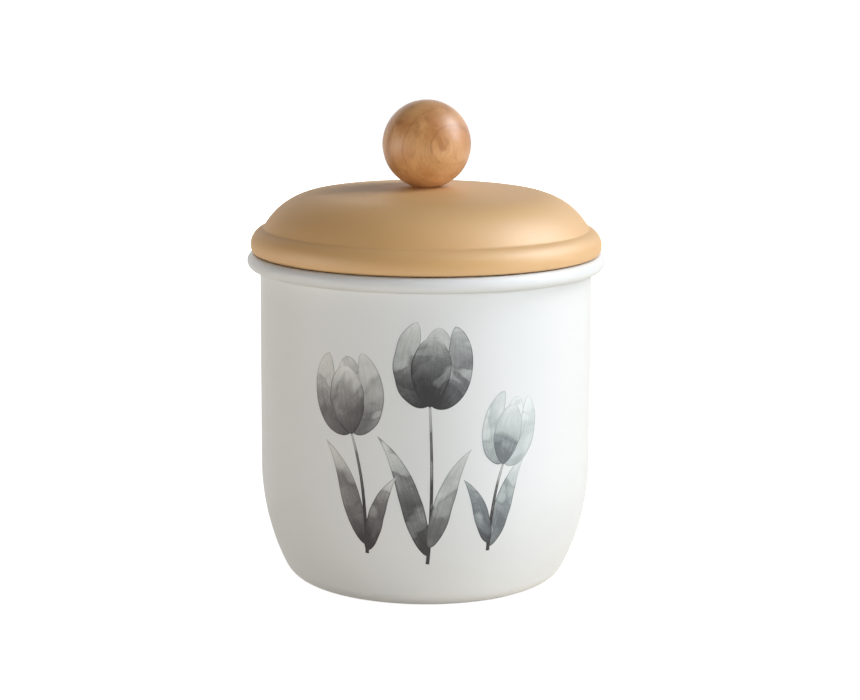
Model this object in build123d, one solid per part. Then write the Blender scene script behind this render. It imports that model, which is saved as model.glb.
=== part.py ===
from build123d import *
import os
from math import acos, atan2, cos, degrees, radians, sin, sqrt, tan

# Lidded kitchen canister: an enamelled steel body, a domed lid that plugs into its mouth, and a ball knob.
# Millimetres and degrees. Origin at the middle of the standing surface, +Z up, everything turned about Z.

# Canister body, drawn from one sheet
wall_radius = 56.5  # outside of the straight wall
rim_height = 112.4  # standing surface to the top of the rolled rim
body_sheet = 0.8  # steel with its enamel
rim_bead_radius = 2.6  # outside of the rolled rim
rim_roll_gap = 0.25  # left open between the rolled edge and the wall
flank_radius = 79.5  # long curve that leans the lower wall in
flank_turn = 26.0
foot_radius = 9.0  # tight curve from the flank to the standing ring
stand_width = 3.5  # flat ring that the canister stands on
push_up = 1.6  # rise of the base panel inside that ring
push_up_bend = 2.0  # mid-line of the two bends round the panel

# Lid shell, pressed from one sheet
lid_sheet = 0.8
lid_clearance = 0.3  # lip above the rim
lip_radius = 1.2  # outside of the curled lip that sits over the rim
lip_roll = 220.0
lid_bead_radius = 5.8  # outside of the round bead above the lip
lid_bead_tuck = 18.0  # how far the bead turns under before the lip
lid_bead_turn = 71.5  # how far it turns in over the top
groove_radius = 1.1  # outside of the groove between bead and dome
dome_slope = 60.0  # steepness of the dome where it leaves the groove
dome_radius = 23.2
crown_turn = 7.0  # slope of the crowned top where it meets the dome
knob_seat_margin = 1.5  # coined flat under the knob, beyond the washer

# Collar under the lid, which carries the seal into the mouth
collar_sheet = 0.8
collar_clearance = 1.2  # collar inside the mouth
collar_depth = 9.8  # rim top to the bottom of the hem
weld_gap = 0.05  # flange under the dome
flange_turn = 14.0  # how far the weld flange follows the dome
collar_bend = 3.0  # mid-line from the flange to the upright
channel_depth = 1.2  # seal channel pressed into the collar
channel_height = 3.6
channel_bend = 1.0  # mid-line of the channel's bends
collar_foot = 1.4  # straight part between the channel and the hem
hem_radius = 0.9  # mid-line of the hem at the bottom
hem_height = 1.4  # edge turned back up inside

# Silicone seal
seal_fit = 0.05  # seal on the channel
seal_end_gap = 0.3  # seal below and above the channel's bends
seal_clearance = 0.3  # lips inside the mouth, as compressed
seal_web = 0.9  # thickness of the ring behind the lips
seal_lip = 0.7  # thickness of a lip
seal_lip_pitch = 1.7
seal_lip_tilt = 30.0
seal_lip_root = 0.4  # how far a lip reaches into the ring

# Knob and its fixing
ball_radius = 15.0
ball_flat_width = 1.2  # flat ring round the insert that sits on the lid
insert_wall = 0.95  # brass outside the tapped bore
insert_length = 9.0
insert_groove = 0.4  # depth of the groove between the two bands that grip the wood
insert_band = 3.2
insert_hole_spare = 1.2  # hole in the ball beyond the insert and the screw's end
drill_point_angle = 118.0
screw_radius = 2.0
screw_length = 10.0
screw_clearance = 0.25  # screw in the lid and the washer
thread_clearance = 0.05  # screw in the insert
head_radius = 4.0
head_height = 2.6
head_edge = 1.1  # straight side of the pan head
recess_width = 1.1
recess_span = 4.4
recess_depth = 1.6
recess_taper = 8.0
washer_radius = 4.5
washer_thickness = 0.8

# Places that follow from the sizes above
mouth_radius = wall_radius - body_sheet
rim_roll_radius = rim_bead_radius - body_sheet / 2
rim_centre_radius = wall_radius - body_sheet / 2 + rim_roll_radius
rim_centre_height = rim_height - rim_bead_radius
lip_mid_radius = lip_radius - lid_sheet / 2
lip_height = rim_height + lid_clearance + lip_radius
clear_hole_radius = screw_radius + screw_clearance
insert_bore = screw_radius + thread_clearance
insert_radius = insert_bore + insert_wall
ball_flat_radius = insert_radius + ball_flat_width
knob_seat_radius = washer_radius + knob_seat_margin
collar_radius = mouth_radius - collar_clearance - collar_sheet / 2
channel_radius = collar_radius + collar_sheet / 2 - channel_depth
seal_radius = mouth_radius - seal_clearance


def turned(profile):
    """Solid of revolution about Z from a profile drawn with X as radius and Y as height."""
    return revolve(Plane.XZ * profile, Axis.Z)


def canister_body():
    """Drawn shell: raised base panel, standing ring, foot, leaning flank, straight wall, rolled rim."""
    panel_bend_turn = degrees(acos(1 - push_up / (2 * push_up_bend)))
    foot_mid = foot_radius - body_sheet / 2
    flank_mid = flank_radius - body_sheet / 2
    flank_inset = flank_radius * (1 - cos(radians(flank_turn)))
    stand_outer = wall_radius - flank_inset - foot_radius * cos(radians(flank_turn))
    panel_radius = stand_outer - stand_width - 2 * push_up_bend * sin(radians(panel_bend_turn))
    panel_height = push_up + body_sheet / 2
    roll_end = (wall_radius + rim_roll_gap - rim_centre_radius) / rim_bead_radius
    rim_roll = 180 + degrees(acos(roll_end))
    with BuildLine() as mid_line:
        panel = Line((0, panel_height), (panel_radius, panel_height))
        fall = JernArc(panel @ 1, panel % 1, push_up_bend, -panel_bend_turn)
        level = JernArc(fall @ 1, fall % 1, push_up_bend, panel_bend_turn)
        ring = Line(level @ 1, (stand_outer, body_sheet / 2))
        foot = JernArc(ring @ 1, ring % 1, foot_mid, 90 - flank_turn)
        flank = JernArc(foot @ 1, foot % 1, flank_mid, flank_turn)
        wall = Line(flank @ 1, ((flank @ 1).X, rim_centre_height))
        JernArc(wall @ 1, wall % 1, rim_roll_radius, -rim_roll)
    return turned(trace(mid_line.line, line_width=body_sheet))


def lid_mid_line():
    """Mid-line of the lid's sheet, and the centre of its dome's curve."""
    tuck_side = Vector(cos(radians(lid_bead_tuck)), -sin(radians(lid_bead_tuck)))
    tuck_rise = Vector(sin(radians(lid_bead_tuck)), cos(radians(lid_bead_tuck)))
    lip_start = Vector(rim_centre_radius, lip_height) + tuck_side * lip_mid_radius
    bead_mid = lid_bead_radius - lid_sheet / 2
    groove_mid = groove_radius + lid_sheet / 2
    dome_mid = dome_radius - lid_sheet / 2
    groove_turn = dome_slope - (90 - lid_bead_turn)
    with BuildLine() as mid_line:
        JernArc(lip_start, tuck_rise * -1, lip_mid_radius, -lip_roll)
        bead = JernArc(lip_start, tuck_rise, bead_mid, lid_bead_tuck + lid_bead_turn)
        groove = JernArc(bead @ 1, bead % 1, groove_mid, -groove_turn)
        dome = JernArc(groove @ 1, groove % 1, dome_mid, dome_slope - crown_turn)
        crown_mid = ((dome @ 1).X - knob_seat_radius) / sin(radians(crown_turn))
        crown = JernArc(dome @ 1, dome % 1, crown_mid, crown_turn)
        Line(crown @ 1, (clear_hole_radius, (crown @ 1).Y))
    return mid_line.line, dome.arc_center, (crown @ 1).Y + lid_sheet / 2


lid_line, dome_centre, seat_height = lid_mid_line()
underside_height = seat_height - lid_sheet
ball_centre_height = seat_height + sqrt(ball_radius**2 - ball_flat_radius**2)
head_seat_height = underside_height - washer_thickness
hem_bottom = rim_height - collar_depth
channel_bend_turn = degrees(acos(1 - channel_depth / (2 * channel_bend)))
channel_bend_rise = 2 * channel_bend * sin(radians(channel_bend_turn))
channel_bottom = hem_bottom + hem_radius + collar_sheet / 2 + collar_foot + channel_bend_rise
channel_middle = channel_bottom + channel_height / 2


def lid_shell():
    """Pressed lid: flat knob seat, crowned top, dome, groove, bead and a lip curled in over the rim."""
    return turned(trace(lid_line, line_width=lid_sheet))


def lid_collar():
    """Ring welded under the dome: flange along the dome, upright, seal channel, and a hem at the bottom."""
    flange_mid = dome_radius - lid_sheet - weld_gap - collar_sheet / 2
    bend_x = collar_radius - collar_bend
    bend_y = dome_centre.Y + sqrt((flange_mid - collar_bend) ** 2 - (bend_x - dome_centre.X) ** 2)
    bend_turn = degrees(atan2(bend_y - dome_centre.Y, bend_x - dome_centre.X))
    channel_top = channel_bottom + channel_height
    with BuildLine() as mid_line:
        CenterArc((dome_centre.X, dome_centre.Y), flange_mid, bend_turn, flange_turn)
        CenterArc((bend_x, bend_y), collar_bend, 0, bend_turn)
        upright = Line((collar_radius, bend_y), (collar_radius, channel_top + channel_bend_rise))
        enter = JernArc(upright @ 1, upright % 1, channel_bend, -channel_bend_turn)
        inner = JernArc(enter @ 1, enter % 1, channel_bend, channel_bend_turn)
        channel = Line(inner @ 1, ((inner @ 1).X, channel_bottom))
        leave = JernArc(channel @ 1, channel % 1, channel_bend, channel_bend_turn)
        outer = JernArc(leave @ 1, leave % 1, channel_bend, -channel_bend_turn)
        foot = Line(outer @ 1, (collar_radius, hem_bottom + hem_radius + collar_sheet / 2))
        hem = JernArc(foot @ 1, foot % 1, hem_radius, -180)
        Line(hem @ 1, (hem @ 1) + (hem % 1) * hem_height)
    return turned(trace(mid_line.line, line_width=collar_sheet))


def lid_seal():
    """Soft ring stretched into the collar's channel, with lips that reach for the mouth's wall."""
    back = channel_radius + seal_fit
    ring_height = channel_height - 2 * seal_end_gap
    tip_radius = seal_radius - seal_lip / 2
    root_radius = back + seal_web - seal_lip_root
    lip_run = (tip_radius - root_radius) / cos(radians(seal_lip_tilt))
    lip_x = (root_radius + tip_radius) / 2
    profile = Pos(back + seal_web / 2, channel_middle) * Rectangle(seal_web, ring_height)
    for side in (-1, 1):
        lip_y = channel_middle + side * seal_lip_pitch / 2
        lip = SlotCenterToCenter(lip_run, seal_lip, rotation=seal_lip_tilt)
        profile += Pos(lip_x, lip_y) * lip
    return turned(profile)


def knob_ball():
    """Turned wooden ball with a small flat underneath and a blind drilled hole for the insert."""
    screw_reach = screw_length - washer_thickness - lid_sheet
    hole_end = seat_height + max(insert_length, screw_reach) + insert_hole_spare
    hole_tip = hole_end + insert_radius / tan(radians(drill_point_angle / 2))
    with BuildSketch() as profile:
        with BuildLine():
            flat = Line((insert_radius, seat_height), (ball_flat_radius, seat_height))
            side = ThreePointArc(
                flat @ 1, (ball_radius, ball_centre_height), (0, ball_centre_height + ball_radius)
            )
            Polyline(side @ 1, (0, hole_tip), (insert_radius, hole_end), flat @ 0)
        make_face()
    return turned(profile.sketch)


def knob_insert():
    """Brass insert pressed into the ball: two gripping bands with a groove between, and a tapped bore."""
    groove_height = insert_length - 2 * insert_band
    middle = seat_height + insert_length / 2
    body = Pos(insert_bore + insert_wall / 2, middle) * Rectangle(insert_wall, insert_length)
    groove = Pos(insert_radius - insert_groove / 2, middle) * Rectangle(insert_groove, groove_height)
    return turned(body - groove)


def screw_washer():
    """Plain washer under the screw's head, inside the lid."""
    ring = Circle(washer_radius) - Circle(clear_hole_radius)
    return extrude(Pos(0, 0, head_seat_height) * ring, washer_thickness)


def knob_screw():
    """Pan head machine screw up through the lid into the insert, with a cross recess in its head."""
    head_bottom = head_seat_height - head_height
    dome_drop = head_height - head_edge
    with BuildSketch() as profile:
        with BuildLine():
            shank_top = head_seat_height + screw_length
            Polyline(
                (0, head_bottom),
                (0, shank_top),
                (screw_radius, shank_top),
                (screw_radius, head_seat_height),
                (head_radius, head_seat_height),
                (head_radius, head_seat_height - head_edge),
            )
            cap_radius = (head_radius**2 + dome_drop**2) / (2 * dome_drop)
            RadiusArc((head_radius, head_bottom + dome_drop), (0, head_bottom), cap_radius)
        make_face()
    cross = Rectangle(recess_span, recess_width) + Rectangle(recess_width, recess_span)
    recess = extrude(Pos(0, 0, head_bottom) * cross, recess_depth, taper=recess_taper)
    return turned(profile.sketch) - recess


pieces = (
    canister_body,
    lid_shell,
    lid_collar,
    lid_seal,
    knob_ball,
    knob_insert,
    knob_screw,
    screw_washer,
)

os.makedirs("parts", exist_ok=True)
for piece in pieces:
    export_step(piece(), f"parts/{piece.__name__}.step")
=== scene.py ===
import math
import random

import bmesh
import bpy
import numpy as np
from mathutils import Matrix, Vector


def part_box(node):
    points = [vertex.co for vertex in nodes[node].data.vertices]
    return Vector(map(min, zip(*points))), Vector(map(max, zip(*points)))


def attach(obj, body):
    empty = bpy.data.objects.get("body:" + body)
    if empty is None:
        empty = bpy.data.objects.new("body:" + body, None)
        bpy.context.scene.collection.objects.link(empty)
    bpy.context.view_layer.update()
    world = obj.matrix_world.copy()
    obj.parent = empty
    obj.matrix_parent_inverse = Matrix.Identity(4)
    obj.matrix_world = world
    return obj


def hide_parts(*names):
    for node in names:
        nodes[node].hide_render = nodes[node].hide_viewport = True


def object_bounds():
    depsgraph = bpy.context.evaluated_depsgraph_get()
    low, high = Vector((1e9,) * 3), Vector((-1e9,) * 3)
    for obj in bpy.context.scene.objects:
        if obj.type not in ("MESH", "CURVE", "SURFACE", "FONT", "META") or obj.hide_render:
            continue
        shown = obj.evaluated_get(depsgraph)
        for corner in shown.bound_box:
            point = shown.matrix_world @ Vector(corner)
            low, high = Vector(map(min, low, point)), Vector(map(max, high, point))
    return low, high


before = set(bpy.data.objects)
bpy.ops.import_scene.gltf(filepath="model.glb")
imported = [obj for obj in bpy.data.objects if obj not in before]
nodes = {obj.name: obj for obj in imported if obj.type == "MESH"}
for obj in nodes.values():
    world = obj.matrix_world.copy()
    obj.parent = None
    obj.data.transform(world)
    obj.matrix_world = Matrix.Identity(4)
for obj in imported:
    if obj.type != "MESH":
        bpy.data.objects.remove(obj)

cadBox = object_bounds()  # the CAD box, taken before anything is added
scene = bpy.context.scene
scene.view_settings.view_transform = "Standard"


# a socket of a shader tree: arithmetic on it adds Math nodes
class Wire:
    def __init__(self, tree, socket=None):
        self.tree = tree
        self.socket = socket

    # any node: its type, settings first, then values or links for its sockets
    def make(self, kind, settings=None, inputs=None, out=0):
        node = self.tree.nodes.new("ShaderNode" + kind)
        for name, value in (settings or {}).items():
            if name == "stops":
                fillRamp(node.color_ramp, value)
            else:
                setattr(node, name, value)
        for name, value in (inputs or {}).items():
            if isinstance(value, Wire):
                self.tree.links.new(value.socket, node.inputs[name])
            else:
                node.inputs[name].default_value = value
        return Wire(self.tree, node.outputs[out] if node.outputs else None)

    # another output of the same node
    def other(self, out):
        return Wire(self.tree, self.socket.node.outputs[out])

    def math(self, operation, *values):
        return self.make("Math", {"operation": operation}, dict(enumerate(values)))

    def __add__(self, value):
        return self.math("ADD", self, value)

    __radd__ = __add__

    def __sub__(self, value):
        return self.math("SUBTRACT", self, value)

    def __rsub__(self, value):
        return self.math("SUBTRACT", value, self)

    def __mul__(self, value):
        return self.math("MULTIPLY", self, value)

    __rmul__ = __mul__

    def __truediv__(self, value):
        return self.math("DIVIDE", self, value)

    def __rtruediv__(self, value):
        return self.math("DIVIDE", value, self)

    # 0 below low and 1 above high, with a smooth step between; high may be the smaller one
    def step(self, low, high):
        ends = {"Value": self, "From Min": low, "From Max": high}
        return self.make("MapRange", {"interpolation_type": "SMOOTHSTEP"}, ends)

    # this value as the share of the second colour
    def mix(self, first, second):
        settings = {"data_type": "RGBA", "clamp_factor": True}
        return self.make("Mix", settings, {0: self, 6: first, 7: second}, 2)

    def scaled(self, scales):
        return self.make("VectorMath", {"operation": "MULTIPLY"}, {0: self, 1: scales})

    def moved(self, offset):
        return self.make("VectorMath", {"operation": "ADD"}, {0: self, 1: offset})

    def length(self):
        return self.make("VectorMath", {"operation": "LENGTH"}, {0: self}, "Value")

    def axis(self, name):
        return self.make("SeparateXYZ", {}, {0: self}, name)

    def noise(self, scale, detail=2.0, roughness=0.5, distortion=0.0):
        inputs = {"Vector": self, "Scale": scale, "Detail": detail}
        inputs |= {"Roughness": roughness, "Distortion": distortion}
        return self.make("TexNoise", {}, inputs)

    # a noise, which runs from 0 to 1, as a swing to both sides of zero
    def swing(self, size):
        return (self - 0.5) * size

    def bump(self, strength, depth):
        return self.make("Bump", {}, {"Height": self, "Strength": strength, "Distance": depth}, "Normal")


def fillRamp(ramp, stops):
    while len(ramp.elements) < len(stops):
        ramp.elements.new(1.0)
    for element, (place, colour) in zip(ramp.elements, stops):
        element.position = place
        element.color = colour


def rgb(red, green, blue):
    return (red, green, blue, 1.0)


def newFinish(name):
    material = bpy.data.materials.new(name)
    material.use_nodes = True
    material.node_tree.nodes.clear()
    wire = Wire(material.node_tree)
    return material, wire, wire.make("TexCoord", {}, {}, "Object")


def finishWith(wire, sockets):
    shader = wire.make("BsdfPrincipled", {}, sockets)
    wire.make("OutputMaterial", {}, {"Surface": shader})


plainWhite = rgb(1, 1, 1)

# camera where the photograph was taken from: metres, degrees and millimetres
cameraSetup = {"place": (0.0007, -0.8, 0.2283), "tilt": 79.374, "roll": -0.296, "lens": 99.16, "sensor": 36.0}


def placeCamera():
    data = bpy.data.cameras.new("camera")
    data.lens = cameraSetup["lens"]
    data.sensor_width = cameraSetup["sensor"]
    camera = bpy.data.objects.new("camera", data)
    camera.location = cameraSetup["place"]
    camera.rotation_euler = (math.radians(cameraSetup["tilt"]), math.radians(cameraSetup["roll"]), 0)
    scene.collection.objects.link(camera)
    scene.camera = camera


# lamps by azimuth from the camera's side towards +X and elevation, in degrees; metres and watts
lampSetup = {
    "target": (0, 0, 0.09),
    "lamps": {
        "sunLamp": {"azimuth": 84, "elevation": 17, "distance": 1.3, "size": (0.1, 0.1),
                    "power": 3.0, "colour": (0.87, 0.93, 1.0), "mirrored": True},
        "skyLamp": {"azimuth": 95, "elevation": 39, "distance": 1.1, "size": (0.6, 0.5),
                    "power": 7.2, "colour": (0.94, 0.97, 1.0), "mirrored": True},
        "rightFill": {"azimuth": 36, "elevation": 4, "distance": 1.1, "size": (0.4, 0.16),
                      "power": 4.0, "colour": (0.86, 0.93, 1.0), "mirrored": False},
        "frontFill": {"azimuth": -30, "elevation": 2, "distance": 1.2, "size": (0.5, 0.12),
                      "power": 2.2, "colour": (1.0, 0.98, 0.95), "mirrored": False},
        "leftFill": {"azimuth": -84, "elevation": 6, "distance": 1.1, "size": (0.9, 0.3),
                     "power": 3.3, "colour": (1.0, 0.99, 0.98), "mirrored": False},
        "leftWindow": {"azimuth": -78, "elevation": 4, "distance": 1.1, "size": (0.45, 0.22),
                       "power": 0.9, "colour": (1.0, 0.99, 0.98), "mirrored": True},
        "topFill": {"azimuth": 92, "elevation": 60, "distance": 1.1, "size": (0.5, 0.5),
                    "power": 2.1, "colour": (0.98, 0.97, 1.0), "mirrored": False},
        "backFill": {"azimuth": 185, "elevation": 10, "distance": 1.2, "size": (0.9, 0.4),
                     "power": 6.0, "colour": (1.0, 0.99, 0.97), "mirrored": False},
        # a wide soft spot, set aside so that its left edge falls near the middle of the wall
        "windowSpot": {"azimuth": -4, "elevation": 18, "distance": 1.1, "aside": 0.276, "cone": 30.5,
                       "blend": 0.15, "radius": 0.03, "power": 13.3, "colour": (0.82, 0.91, 1.0),
                       "mirrored": False},
    },
    "sky": rgb(0.95, 0.97, 1.0),
    "skyStrength": 0.03,
    "ceiling": rgb(0.09, 0.09, 0.09),  # the room as a gloss shows it, beside the white wall at the back
    "wallTop": (0.72, 0.40),
    "wallSide": (0.45, 0.85),
    "roomMirrored": 1.0,
}


def placeLamp(name, setup):
    data = bpy.data.lights.new(name, "SPOT" if "cone" in setup else "AREA")
    if "cone" in setup:
        data.spot_size = math.radians(setup["cone"])
        data.spot_blend = setup["blend"]
        data.shadow_soft_size = setup["radius"]
    else:
        data.shape = "RECTANGLE"
        data.size, data.size_y = setup["size"]
    data.energy = setup["power"]
    data.color = setup["colour"]
    azimuth = math.radians(setup["azimuth"])
    elevation = math.radians(setup["elevation"])
    flat = math.cos(elevation)
    towards = Vector((flat * math.sin(azimuth), -flat * math.cos(azimuth), math.sin(elevation)))
    aside = Vector((math.cos(azimuth), math.sin(azimuth), 0)) * setup.get("aside", 0)
    lamp = bpy.data.objects.new(name, data)
    lamp.location = Vector(lampSetup["target"]) + aside + towards * setup["distance"]
    lamp.rotation_euler = towards.to_track_quat("Z", "Y").to_euler()
    lamp.visible_glossy = setup["mirrored"]
    scene.collection.objects.link(lamp)


# rays that show the background: those in sight, and a share of those from a gloss
def seenRay(wire, mirrored):
    path = wire.make("LightPath", {}, {}, "Is Camera Ray")
    return path.math("MAXIMUM", path, path.other("Is Glossy Ray") * mirrored)


def makeWorld():
    world = bpy.data.worlds.new("studio")
    world.use_nodes = True
    world.node_tree.nodes.clear()
    wire = Wire(world.node_tree)
    sky = wire.make("Background", {}, {"Color": lampSetup["sky"], "Strength": lampSetup["skyStrength"]})
    upward = wire.make("TexCoord", {}, {}, "Generated").axis("Z")
    inSight = wire.make("LightPath", {}, {}, "Is Camera Ray")
    backWall = upward.other("Y").step(*lampSetup["wallSide"]) * upward.step(*lampSetup["wallTop"])
    lit = inSight.math("MAXIMUM", inSight, backWall)
    room = wire.make("Background", {}, {"Color": lit.mix(lampSetup["ceiling"], plainWhite)})
    shown = wire.make("MixShader", {}, {0: seenRay(wire, lampSetup["roomMirrored"]), 1: sky, 2: room})
    wire.make("OutputWorld", {}, {"Surface": shown})
    scene.world = world


# bounce and dusk are what the floor throws up, pale and glow what is seen of it
floorSetup = {"reach": 8.0, "squares": 8, "bounce": rgb(0.72, 0.63, 0.50), "dusk": rgb(0.70, 0.61, 0.48),
              "clouds": 3.0, "cloudSpan": (0.3, 0.7), "pale": rgb(0.8, 0.8, 0.8),
              "glow": rgb(0.82, 0.82, 0.82), "shadowReach": (0.25, 0.9), "mirrored": 0.4}


def floorFinish():
    material, wire, place = newFinish("paleFloor")
    cloud = place.noise(floorSetup["clouds"]).step(*floorSetup["cloudSpan"])
    bounce = wire.make("BsdfDiffuse", {}, {"Color": cloud.mix(floorSetup["bounce"], floorSetup["dusk"])})
    away = place.length().step(*floorSetup["shadowReach"])
    shade = wire.make("BsdfDiffuse", {}, {"Color": floorSetup["pale"]})
    glow = wire.make("Emission", {}, {"Color": away.mix(floorSetup["glow"], plainWhite)})
    pale = wire.make("AddShader", {}, {0: shade, 1: glow})
    shown = wire.make("MixShader", {}, {0: seenRay(wire, floorSetup["mirrored"]), 1: bounce, 2: pale})
    wire.make("OutputMaterial", {}, {"Surface": shown})
    return material


def makeFloor():
    mesh = bpy.data.meshes.new("floor")
    build = bmesh.new()
    squares = floorSetup["squares"]
    bmesh.ops.create_grid(build, x_segments=squares, y_segments=squares, size=floorSetup["reach"])
    build.to_mesh(mesh)
    build.free()
    mesh.materials.append(floorFinish())
    floor = bpy.data.objects.new("floor", mesh)
    floor.location.z = cadBox[0].z
    scene.collection.objects.link(floor)


placeCamera()
for lampName, lampValues in lampSetup["lamps"].items():
    placeLamp(lampName, lampValues)
makeWorld()
makeFloor()
print("stage: camera,", len(lampSetup["lamps"]), "lamps, floor")


# in all finishes: a noise is its scale, detail, roughness and distortion, and a span is where it fades
# from none to full; a bump is its strength and its depth in metres
enamel = {
    "white": rgb(0.735, 0.74, 0.735), "cloudy": rgb(0.722, 0.728, 0.722), "scuffed": rgb(0.55, 0.54, 0.51),
    "clouds": (26.0, 3.0), "cloudSpan": (0.35, 0.7),
    "scuffs": (420.0, 4.0, 0.7), "scuffSpan": (0.42, 0.6), "scuffHeight": (0.0007, 0.0),
    "gloss": 0.34, "glossClouds": 0.10, "glossScuffs": 0.25,
    "peel": (700.0, 1.0), "waves": (90.0, 1.0), "waveRelief": 2.0, "bump": (0.06, 0.0002),
}


def enamelFinish():
    material, wire, place = newFinish("whiteEnamel")
    cloud = place.noise(*enamel["clouds"])
    tone = cloud.step(*enamel["cloudSpan"]).mix(enamel["white"], enamel["cloudy"])
    standing = place.axis("Z").step(*enamel["scuffHeight"])
    scuff = standing * place.noise(*enamel["scuffs"]).step(*enamel["scuffSpan"])
    tone = scuff.mix(tone, enamel["scuffed"])
    gloss = enamel["gloss"] + cloud.swing(enamel["glossClouds"]) + scuff * enamel["glossScuffs"]
    peel = place.noise(*enamel["peel"]) + place.noise(*enamel["waves"]) * enamel["waveRelief"]
    finishWith(wire, {"Base Color": tone, "Roughness": gloss, "Normal": peel.bump(*enamel["bump"])})
    return material


lidPaint = {
    "tan": rgb(0.685, 0.402, 0.163), "dusky": rgb(0.67, 0.39, 0.155), "speck": rgb(0.705, 0.44, 0.197),
    "clouds": (34.0, 3.0), "cloudSpan": (0.3, 0.7),
    "powder": (2200.0, 2.0), "powderSpan": (0.35, 0.65), "speckShare": 0.05,
    "gloss": 0.55, "glossClouds": 0.08, "glossPowder": 0.05, "specular": 1.0, "density": 1.75,
    "peel": (500.0, 1.0), "powderRelief": 0.4, "bump": (0.08, 0.0002),
}


def lidFinish():
    material, wire, place = newFinish("tanPaint")
    cloud = place.noise(*lidPaint["clouds"])
    powder = place.noise(*lidPaint["powder"])
    tone = cloud.step(*lidPaint["cloudSpan"]).mix(lidPaint["tan"], lidPaint["dusky"])
    tone = (powder.step(*lidPaint["powderSpan"]) * lidPaint["speckShare"]).mix(tone, lidPaint["speck"])
    gloss = lidPaint["gloss"] + cloud.swing(lidPaint["glossClouds"]) + powder.swing(lidPaint["glossPowder"])
    peel = powder * lidPaint["powderRelief"] + place.noise(*lidPaint["peel"])
    finishWith(wire, {"Base Color": tone, "Roughness": gloss, "Specular IOR Level": lidPaint["specular"],
                      "IOR": lidPaint["density"], "Normal": peel.bump(*lidPaint["bump"])})
    return material


# growth rings stand upright round a pith behind the ball; figureSide is where they show as ovals
knob = {
    "figureSide": (0.62, -0.78), "pithDistance": 0.030, "ringGap": 0.0056, "ringShift": 0.206,
    "drift": (75.0, 3.0, 0.55), "driftSize": 0.0024,
    "honey": rgb(0.67, 0.352, 0.138), "amber": rgb(0.535, 0.233, 0.075), "umber": rgb(0.395, 0.146, 0.037),
    "line": rgb(0.32, 0.115, 0.032), "fleck": rgb(0.33, 0.14, 0.045),
    # what a place is multiplied by: a small last number draws a pattern out along the upright grain
    "ringGrain": (1, 1, 0.12), "cloudGrain": (1, 1, 0.8),
    "fibreGrain": (1, 1, 0.09), "fleckGrain": (1, 1, 0.14),
    "lineRise": (0.90, 0.945), "lineFall": (0.995, 0.96), "lineShare": 0.42,
    "fading": (130.0, 2.0), "fadingSpan": (0.36, 0.62),
    "lateWood": (0.45, 1.0), "lateShare": 0.12, "earlyWood": (0.8, 0.2),
    "clouds": (105.0, 3.0, 0.5, 0.3), "cloudSpan": (0.36, 0.64), "cloudShare": 0.9,
    "patches": (150.0, 3.0, 0.55, 0.4), "patchSpan": (0.48, 0.70), "patchShare": 0.8,
    "patchShift": (0.31, 0.17, 0.23),
    "fibres": (2100.0, 2.0, 0.65), "fibreSpan": (0.45, 0.68), "fibreShare": 0.3,
    "flecks": (1200.0, 1.0), "fleckSpan": (0.62, 0.70), "fleckShare": 0.24,
    "gloss": 0.48, "glossFibres": 0.16, "glossPatches": 0.1, "glossFlecks": 0.08,
    "specular": 0.75, "lacquer": 1.0, "lacquerGloss": 0.40,
    "fibreRelief": 0.6, "fleckRelief": -0.6, "lineRelief": -0.5, "bump": (0.14, 0.0002),
}


def woodFinish():
    material, wire, place = newFinish("lacqueredWood")
    low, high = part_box("knob_ball")
    local = place.moved((0, 0, (high.x - low.x) / 2 - high.z))  # from the ball's middle
    side = Vector(knob["figureSide"]).normalized() * knob["pithDistance"]
    fromPith = local.moved((side.x, side.y, 0)).scaled(knob["ringGrain"]).length()
    drift = local.noise(*knob["drift"]).swing(knob["driftSize"])
    ring = (fromPith + drift) / knob["ringGap"] + knob["ringShift"]
    season = ring.math("FRACT", ring)
    fading = local.noise(*knob["fading"]).step(*knob["fadingSpan"])
    line = season.step(*knob["lineRise"]) * season.step(*knob["lineFall"]) * fading
    lateWood = season.step(*knob["lateWood"])
    cloud = local.scaled(knob["cloudGrain"]).noise(*knob["clouds"])
    patch = local.moved(knob["patchShift"]).scaled(knob["cloudGrain"]).noise(*knob["patches"])
    fibre = local.scaled(knob["fibreGrain"]).noise(*knob["fibres"])
    fleck = local.scaled(knob["fleckGrain"]).noise(*knob["flecks"]).step(*knob["fleckSpan"])
    fleck = fleck * season.step(*knob["earlyWood"])
    tone = (cloud.step(*knob["cloudSpan"]) * knob["cloudShare"]).mix(knob["honey"], knob["amber"])
    tone = (patch.step(*knob["patchSpan"]) * knob["patchShare"]).mix(tone, knob["umber"])
    tone = (lateWood * knob["lateShare"] + line * knob["lineShare"]).mix(tone, knob["line"])
    tone = (fleck * knob["fleckShare"]).mix(tone, knob["fleck"])
    tone = (fibre.step(*knob["fibreSpan"]) * knob["fibreShare"]).mix(tone, knob["umber"])
    gloss = knob["gloss"] + fibre.swing(knob["glossFibres"]) + patch.swing(knob["glossPatches"])
    gloss = gloss + fleck * knob["glossFlecks"]
    grain = fibre * knob["fibreRelief"] + fleck * knob["fleckRelief"] + line * knob["lineRelief"]
    finishWith(wire, {"Base Color": tone, "Roughness": gloss, "Specular IOR Level": knob["specular"],
                      "Coat Weight": knob["lacquer"], "Coat Roughness": knob["lacquerGloss"],
                      "Normal": grain.bump(*knob["bump"])})
    return material


silicone = {
    "milky": rgb(0.70, 0.71, 0.70), "clear": rgb(0.62, 0.64, 0.64),
    "clouds": (160.0, 2.0), "cloudSpan": (0.3, 0.7),
    "dust": (3000.0, 2.0), "gloss": 0.48, "glossDust": 0.15, "bump": (0.08, 0.0001),
}


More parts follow.
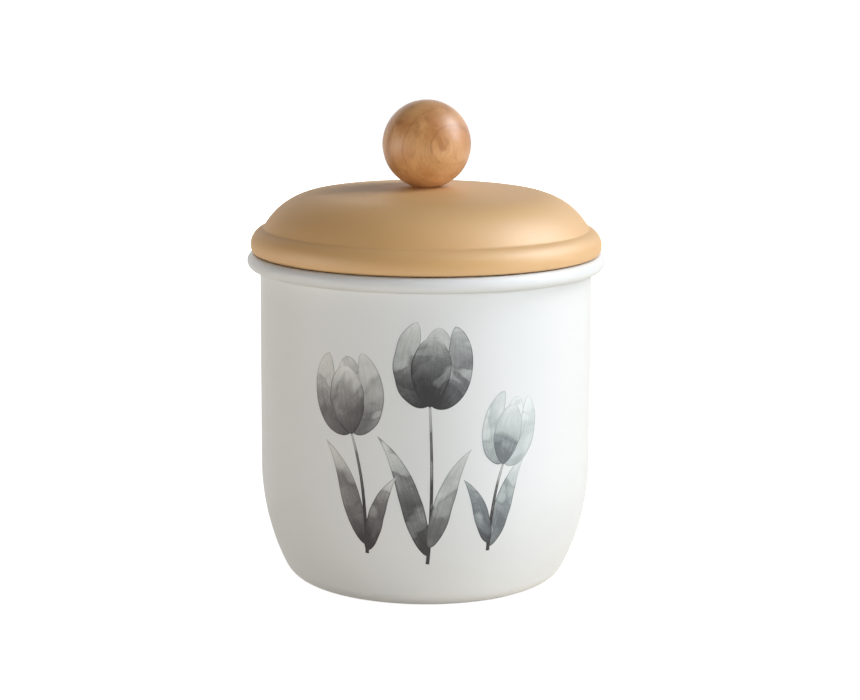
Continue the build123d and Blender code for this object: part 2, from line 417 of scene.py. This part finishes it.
def siliconeFinish():
    material, wire, place = newFinish("milkySilicone")
    cloud = place.noise(*silicone["clouds"])
    tone = cloud.step(*silicone["cloudSpan"]).mix(silicone["milky"], silicone["clear"])
    dust = place.noise(*silicone["dust"])
    gloss = silicone["gloss"] + dust.swing(silicone["glossDust"])
    finishWith(wire, {"Base Color": tone, "Roughness": gloss, "Normal": dust.bump(*silicone["bump"])})
    return material


# turned or rolled metal: rings about Z, with a little tarnish
metals = {
    "platedSteel": {"bright": rgb(0.62, 0.63, 0.64), "dull": rgb(0.47, 0.47, 0.47), "gloss": 0.30},
    "turnedBrass": {"bright": rgb(0.78, 0.57, 0.25), "dull": rgb(0.55, 0.38, 0.16), "gloss": 0.28},
}
metalWear = {"grooves": 9000.0, "tarnish": (500.0, 3.0), "tarnishSpan": (0.4, 0.75),
             "glossTarnish": 0.15, "glossGrooves": 0.03, "bump": (0.15, 0.00002)}


def metalFinish(name):
    setup = metals[name]
    material, wire, place = newFinish(name)
    turning = (place.scaled((1, 1, 0)).length() + place.axis("Z")) * metalWear["grooves"]
    groove = turning.math("SINE", turning)
    tarnish = place.noise(*metalWear["tarnish"]).step(*metalWear["tarnishSpan"])
    tone = tarnish.mix(setup["bright"], setup["dull"])
    gloss = setup["gloss"] + tarnish * metalWear["glossTarnish"] + groove * metalWear["glossGrooves"]
    finishWith(wire, {"Base Color": tone, "Roughness": gloss, "Metallic": 1.0,
                      "Normal": groove.bump(*metalWear["bump"])})
    return material


tanPaint = lidFinish()
platedSteel = metalFinish("platedSteel")
finishes = {
    "canister_body": enamelFinish(),
    "lid_shell": tanPaint,
    "lid_collar": tanPaint,
    "knob_ball": woodFinish(),
    "knob_insert": metalFinish("turnedBrass"),
    "knob_screw": platedSteel,
    "screw_washer": platedSteel,
}
for nodeName, nodeFinish in finishes.items():
    for slot in nodes[nodeName].material_slots:
        slot.material = nodeFinish
print("finishes: on", len(finishes), "nodes")


def addPiece(name, build, material, body):
    mesh = bpy.data.meshes.new(name)
    bmesh.ops.recalc_face_normals(build, faces=build.faces)
    build.to_mesh(mesh)
    build.free()
    mesh.materials.append(material)
    piece = bpy.data.objects.new(name, mesh)
    scene.collection.objects.link(piece)
    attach(piece, body)
    return piece


# closed ring turned about Z from an outline of (radius, height) points
def turnRing(build, outline, steps):
    rings = []
    for step in range(steps):
        angle = 2 * math.pi * step / steps
        turn = (math.cos(angle), math.sin(angle))
        rings.append([build.verts.new((r * turn[0], r * turn[1], z)) for r, z in outline])
    for step, ring in enumerate(rings):
        following = rings[(step + 1) % steps]
        for place in range(len(outline)):
            after = (place + 1) % len(outline)
            face = build.faces.new((ring[place], following[place], following[after], ring[after]))
            face.smooth = True


# metres; taper and curl are powers along a lip, tipAngles a range of degrees round its end
sealRing = {
    "web": 0.0009, "bulge": 0.00012, "backBand": 0.0001, "steps": 240,
    "lipPitch": 0.0017, "lipRoot": 0.00042, "lipTip": 0.00022, "lipRise": 0.00050, "lipSteps": 10,
    "taper": 0.7, "curl": 1.6, "tipAngles": (-67, 90, 22),
}


# outline of one lip from its lower root round the tip to its upper root
def lipOutline(root, tip, height):
    reach = tip - sealRing["lipTip"] - root
    thinning = sealRing["lipTip"] - sealRing["lipRoot"]
    points = []
    for place in range(sealRing["lipSteps"] + 1):
        share = place / sealRing["lipSteps"]
        half = sealRing["lipRoot"] + thinning * share ** sealRing["taper"]
        rise = sealRing["lipRise"] * share ** sealRing["curl"]
        points.append((root + reach * share, height + rise, half))
    lower = [(r, z - half) for r, z, half in points]
    upper = [(r, z + half) for r, z, half in reversed(points)]
    endRadius, endHeight, endHalf = points[-1]
    angles = [math.radians(degrees) for degrees in range(*sealRing["tipAngles"])]
    cap = [(endRadius + endHalf * math.cos(a), endHeight + endHalf * math.sin(a)) for a in angles]
    return lower + cap + upper


# the seal fills the space of the plain ring, whose back and tip it reads
def makeSeal():
    spread = [(v.co.xy.length, v.co.z) for v in nodes["lid_seal"].data.vertices]
    back = min(r for r, z in spread)
    tip = max(r for r, z in spread)
    ringHeights = [z for r, z in spread if r < back + sealRing["backBand"]]
    bottom, top = min(ringHeights), max(ringHeights)
    middle = (bottom + top) / 2
    face = back + sealRing["web"]
    soft = sealRing["bulge"]
    outline = [(back + soft, bottom), (face - soft, bottom), (face, bottom + soft)]
    for side in (-1, 1):
        outline += lipOutline(face, tip, middle + side * sealRing["lipPitch"] / 2)
    outline += [(face, top - soft), (face - soft, top), (back + soft, top)]
    outline += [(back, top - soft), (back, bottom + soft)]
    build = bmesh.new()
    turnRing(build, outline, sealRing["steps"])
    seal = addPiece("seal_ring", build, siliconeFinish(), "lid")
    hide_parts("lid_seal")


makeSeal()
print("seal: ring with two lips")


# metres; a stroke's front stands above the wall, higher with each layer, and its back lies inside it
printSkin = {
    "lift": 0.00003, "layer": 0.000004, "sunk": 0.00006, "highest": 0.1,
    "cell": 0.0006, "fewestRows": 10, "fewestColumns": 4, "spineSteps": 20, "least": 0.00006,
    "wobble": 0.025, "waves": 3, "waveStretch": 3, "seed": 7,
    "waveSpeed": (2, 9), "waveStart": (0, 6.28), "waveSize": (0.3, 1.0), "strokeSeed": (0, 40),
}
paintMarks = ("along", "across", "edge", "tone", "tint", "seed")  # what each point of a stroke carries


# the wall's outer profile below the rim, read from the body's own rings; rounding makes a ring one point
def wallProfile():
    corners = [v.co for v in nodes["canister_body"].data.vertices]
    rings = sorted({(round(corner.z, 5), round(corner.xy.length, 6)) for corner in corners})
    outline = []
    for height, radius in rings:
        if height < printSkin["highest"] and (not outline or radius > outline[-1][1]):
            outline.append((height, radius))
    return np.array(outline)


profile = wallProfile()
wallRadius = profile[-1][1]


def onWall(across, height, lift):
    radius = float(np.interp(height, profile[:, 0], profile[:, 1])) + lift
    angle = across / wallRadius
    return Vector((radius * math.sin(angle), -radius * math.cos(angle), height))


# place and direction at a share of a cubic curve
def bezier(points, share):
    a, b, c, d = (Vector(p) for p in points)
    rest = 1 - share
    place = a * rest ** 3 + b * 3 * rest ** 2 * share + c * 3 * rest * share ** 2 + d * share ** 3
    along = (b - a) * rest ** 2 + (c - b) * 2 * rest * share + (d - c) * share ** 2
    return place, along.normalized()


def spineLength(spine):
    steps = printSkin["spineSteps"]
    places = [bezier(spine, k / steps)[0] for k in range(steps + 1)]
    return sum((after - before).length for before, after in zip(places, places[1:]))


# width of a petal or leaf along its spine, 1 at its widest
def leafWidth(share, swell, taper):
    widest = swell / (swell + taper)
    peak = widest ** swell * (1 - widest) ** taper
    return max(share, 0.0) ** swell * max(1 - share, 0.0) ** taper / peak


# one closed skin of paint along a curved spine, wrapped on the wall
def brushStroke(build, stroke, layer, rng):
    half = stroke["half"]
    length = spineLength(stroke["spine"])
    rows = max(printSkin["fewestRows"], round(length / printSkin["cell"]))
    columns = max(printSkin["fewestColumns"], round(2 * half / printSkin["cell"]))
    waveValues = ("waveSpeed", "waveStart", "waveSize")
    waves = [[rng.uniform(*printSkin[value]) for value in waveValues] for k in range(printSkin["waves"])]
    seed = rng.uniform(*printSkin["strokeSeed"])
    layers = [build.verts.layers.float[name] for name in paintMarks]

    def paintPoint(along, across, lift):
        place, forward = bezier(stroke["spine"], along)
        turn = along * printSkin["waveStretch"]
        wave = sum(size * math.sin(speed * turn + start + across) for speed, start, size in waves)
        width = max(half * stroke["shape"](along), printSkin["least"]) * (1 + printSkin["wobble"] * wave)
        flat = place + Vector((-forward.y, forward.x)) * (width * across)
        edge = 1000 * min((1 - abs(across)) * width, min(along, 1 - along) * length)  # in millimetres
        point = build.verts.new(onWall(flat.x, flat.y, lift))
        for mark, value in zip(layers, (along, across, edge, stroke["tone"], stroke["tint"], seed)):
            point[mark] = value
        return point

    alongs = [row / rows for row in range(rows + 1)]
    acrosses = [2 * column / columns - 1 for column in range(columns + 1)]
    lifts = (printSkin["lift"] + printSkin["layer"] * layer, -printSkin["sunk"])
    skins = [[[paintPoint(along, across, lift) for across in acrosses] for along in alongs] for lift in lifts]
    front, back = skins
    for row in range(rows):
        for column in range(columns):
            for grid in skins:
                near, far = grid[row], grid[row + 1]
                build.faces.new((near[column], near[column + 1], far[column + 1], far[column])).smooth = True
    border = [(0, c) for c in range(columns)] + [(r, columns) for r in range(rows)]
    border += [(rows, c) for c in range(columns, 0, -1)] + [(r, 0) for r in range(rows, 0, -1)]
    for (r1, c1), (r2, c2) in zip(border, border[1:] + border[:1]):
        build.faces.new((front[r1][c1], front[r2][c2], back[r2][c2], back[r1][c1]))
        for grid in skins:
            build.edges.get((grid[r1][c1], grid[r2][c2])).smooth = False


# grey washes from paper to full dark, cool and warm; runs part the pools from the drier wash
watercolour = {
    "cool": ((0.0, rgb(0.74, 0.765, 0.75)), (0.3, rgb(0.47, 0.515, 0.505)),
             (0.62, rgb(0.165, 0.185, 0.195)), (1.0, rgb(0.040, 0.042, 0.048))),
    "warm": ((0.0, rgb(0.73, 0.72, 0.70)), (0.3, rgb(0.45, 0.44, 0.425)),
             (0.62, rgb(0.165, 0.155, 0.15)), (1.0, rgb(0.036, 0.032, 0.032))),
    "seedShift": (1.7, 0.6), "clouds": (95.0, 3.0, 0.5, 0.5), "cloudSize": 0.6,
    "grain": (2600.0, 2.0, 0.6), "grainSize": 0.35,
    "streaks": (1.6, 2.0), "streakStretch": (5.0, 1.3), "streakSize": 0.22,
    "rootWash": 1.35, "washFade": 0.95,
    "runs": (60.0, 2.0, 0.55, 0.8), "runMiddle": 0.45, "runClimb": 0.22,
    "pool": (0.50, 0.56), "poolShare": 0.28, "dry": (0.41, 0.37), "dryShare": 0.14,
    "ridgeRise": (0.49, 0.525), "ridgeFall": (0.58, 0.535), "ridgeShare": 0.09,
    "edgeLine": (0.45, 0.05), "edgeWander": 0.5, "edgeShare": 0.28, "paleEdge": 0.5,
    "glossRise": 0.04, "glossGrain": 0.1,
}


def watercolourFinish():
    look = watercolour
    material, wire, place = newFinish("watercolourPrint")
    stored = [wire.make("Attribute", {"attribute_name": name}, {}, "Fac") for name in paintMarks]
    along, across, edge, tone, tint, seed = stored
    shiftY, shiftZ = look["seedShift"]
    local = place.moved(wire.make("CombineXYZ", {}, {0: seed, 1: seed * shiftY, 2: seed * shiftZ}))
    cloud = local.noise(*look["clouds"])
    grain = place.noise(*look["grain"])
    streakWide, streakLong = look["streakStretch"]
    strands = wire.make("CombineXYZ", {}, {0: across * streakWide, 1: along * streakLong, 2: seed})
    streak = strands.noise(*look["streaks"])
    wash = tone * (look["rootWash"] - along * look["washFade"])
    wash = wash + cloud.swing(look["cloudSize"]) + streak.swing(look["streakSize"])
    run = local.noise(*look["runs"]) + (along - look["runMiddle"]) * look["runClimb"]
    pool = run.step(*look["pool"]) * look["poolShare"] - run.step(*look["dry"]) * look["dryShare"]
    ridge = run.step(*look["ridgeRise"]) * run.step(*look["ridgeFall"]) * look["ridgeShare"]
    rim = (edge + cloud.swing(look["edgeWander"])).step(*look["edgeLine"]) * look["edgeShare"]
    dark = wash - pool * tone + ridge + rim * (look["paleEdge"] + tone * (1 - look["paleEdge"]))
    dark = dark + grain.swing(look["grainSize"]) * tone
    cool = dark.make("ValToRGB", {"stops": look["cool"]}, {0: dark})
    warm = dark.make("ValToRGB", {"stops": look["warm"]}, {0: dark})
    gloss = enamel["gloss"] + look["glossRise"] + grain.swing(look["glossGrain"])
    finishWith(wire, {"Base Color": tint.mix(warm, cool), "Roughness": gloss})
    return material


# petals in a flower's own square, 1 wide and 1 tall, the back ones first
petals = (
    {"spine": ((0.02, 0.05), (0.05, 0.35), (0.10, 0.70), (0.06, 0.95)),
     "half": 0.24, "swell": 0.75, "taper": 0.60, "tone": -0.10, "tint": 0.0},
    {"spine": ((-0.02, 0.02), (-0.42, 0.06), (-0.50, 0.62), (-0.26, 1.00)),
     "half": 0.21, "swell": 0.75, "taper": 0.60, "tone": 0.05, "tint": 0.0},
    {"spine": ((0.02, 0.02), (0.44, 0.04), (0.52, 0.60), (0.32, 0.97)),
     "half": 0.21, "swell": 0.75, "taper": 0.60, "tone": -0.05, "tint": 0.1},
    {"spine": ((0.00, 0.00), (-0.03, 0.30), (-0.02, 0.58), (0.02, 0.84)),
     "half": 0.31, "swell": 0.70, "taper": 0.62, "tone": 0.12, "tint": 0.0},
)
# a stem's width and the pull of its bend; a leaf's spine after its foot, in shares of its length
stem = {"half": 0.00055, "rootWidth": 1.15, "thinning": 0.45, "bendPulls": (0.8, 0.6),
        "tone": 0.95, "tint": 0.2}
leafForm = {"spine": ((0.14, 0.35), (0.16, 0.72), (0.42, 1.0)), "swell": 0.55, "taper": 0.95}
# flowers on the wall, in metres and degrees: root, bend and neck as (arc from the middle, height),
# then the head, and each leaf by the share of the stem where it starts
flowers = {
    "print_tulip_left": {
        "root": (-0.0200, 0.0200), "bend": (-0.0190, 0.0420), "neck": (-0.0245, 0.0600),
        "lean": -7, "wide": 0.0200, "tall": 0.0270, "tone": 0.52, "tint": 0.15,
        "backLeaf": {"start": 0.06, "side": -1, "length": 0.034, "half": 0.0034, "tone": 0.62},
        "frontLeaf": {"start": 0.02, "side": 1, "length": 0.026, "half": 0.0028, "tone": 0.78},
    },
    "print_tulip_middle": {
        "root": (0.0010, 0.0170), "bend": (0.0030, 0.0420), "neck": (0.0015, 0.0700),
        "lean": 3, "wide": 0.0210, "tall": 0.0275, "tone": 0.74, "tint": 0.45,
        "backLeaf": {"start": 0.05, "side": -1, "length": 0.040, "half": 0.0036, "tone": 0.80},
        "frontLeaf": {"start": 0.10, "side": 1, "length": 0.033, "half": 0.0032, "tone": 0.55},
    },
    "print_tulip_right": {
        "root": (0.0220, 0.0210), "bend": (0.0215, 0.0360), "neck": (0.0262, 0.0500),
        "lean": 11, "wide": 0.0160, "tall": 0.0240, "tone": 0.30, "tint": 0.9,
        "backLeaf": {"start": 0.04, "side": 1, "length": 0.030, "half": 0.0032, "tone": 0.50},
        "frontLeaf": {"start": 0.08, "side": -1, "length": 0.022, "half": 0.0026, "tone": 0.66},
    },
}


def stemSpine(flower):
    root, bend, neck = (Vector(flower[name]) for name in ("root", "bend", "neck"))
    lowPull, highPull = stem["bendPulls"]
    return (root, root.lerp(bend, lowPull), neck.lerp(bend, highPull), neck)


def stemStroke(flower):
    return {"spine": stemSpine(flower), "half": stem["half"], "tone": stem["tone"], "tint": stem["tint"],
            "shape": lambda share: stem["rootWidth"] - stem["thinning"] * share}


def leafStroke(flower, leaf):
    foot = bezier(stemSpine(flower), leaf["start"])[0]
    side, length = leaf["side"], leaf["length"]
    spine = [foot] + [foot + Vector((side * x * length, y * length)) for x, y in leafForm["spine"]]
    return {"spine": spine, "half": leaf["half"], "tone": leaf["tone"], "tint": flower["tint"],
            "shape": lambda share: leafWidth(share, leafForm["swell"], leafForm["taper"])}


def petalStroke(flower, petal):
    turn = math.radians(-flower["lean"])
    cosine, sine = math.cos(turn), math.sin(turn)
    neck = Vector(flower["neck"])
    spine = []
    for place in petal["spine"]:
        x, y = place[0] * flower["wide"], place[1] * flower["tall"]
        spine.append(neck + Vector((x * cosine - y * sine, x * sine + y * cosine)))
    return {"spine": spine, "half": petal["half"] * flower["wide"],
            "tone": flower["tone"] + petal["tone"], "tint": flower["tint"] + petal["tint"],
            "shape": lambda share: leafWidth(share, petal["swell"], petal["taper"])}


def makePrint():
    material = watercolourFinish()
    rng = random.Random(printSkin["seed"])
    for name, flower in flowers.items():
        build = bmesh.new()
        for mark in paintMarks:
            build.verts.layers.float.new(mark)
        strokes = [leafStroke(flower, flower["backLeaf"]), stemStroke(flower)]
        strokes.append(leafStroke(flower, flower["frontLeaf"]))
        strokes += [petalStroke(flower, petal) for petal in petals]
        for layer, stroke in enumerate(strokes):
            brushStroke(build, stroke, layer, rng)
        addPiece(name, build, material, "canister")


makePrint()
print("print:", len(flowers), "flowers")
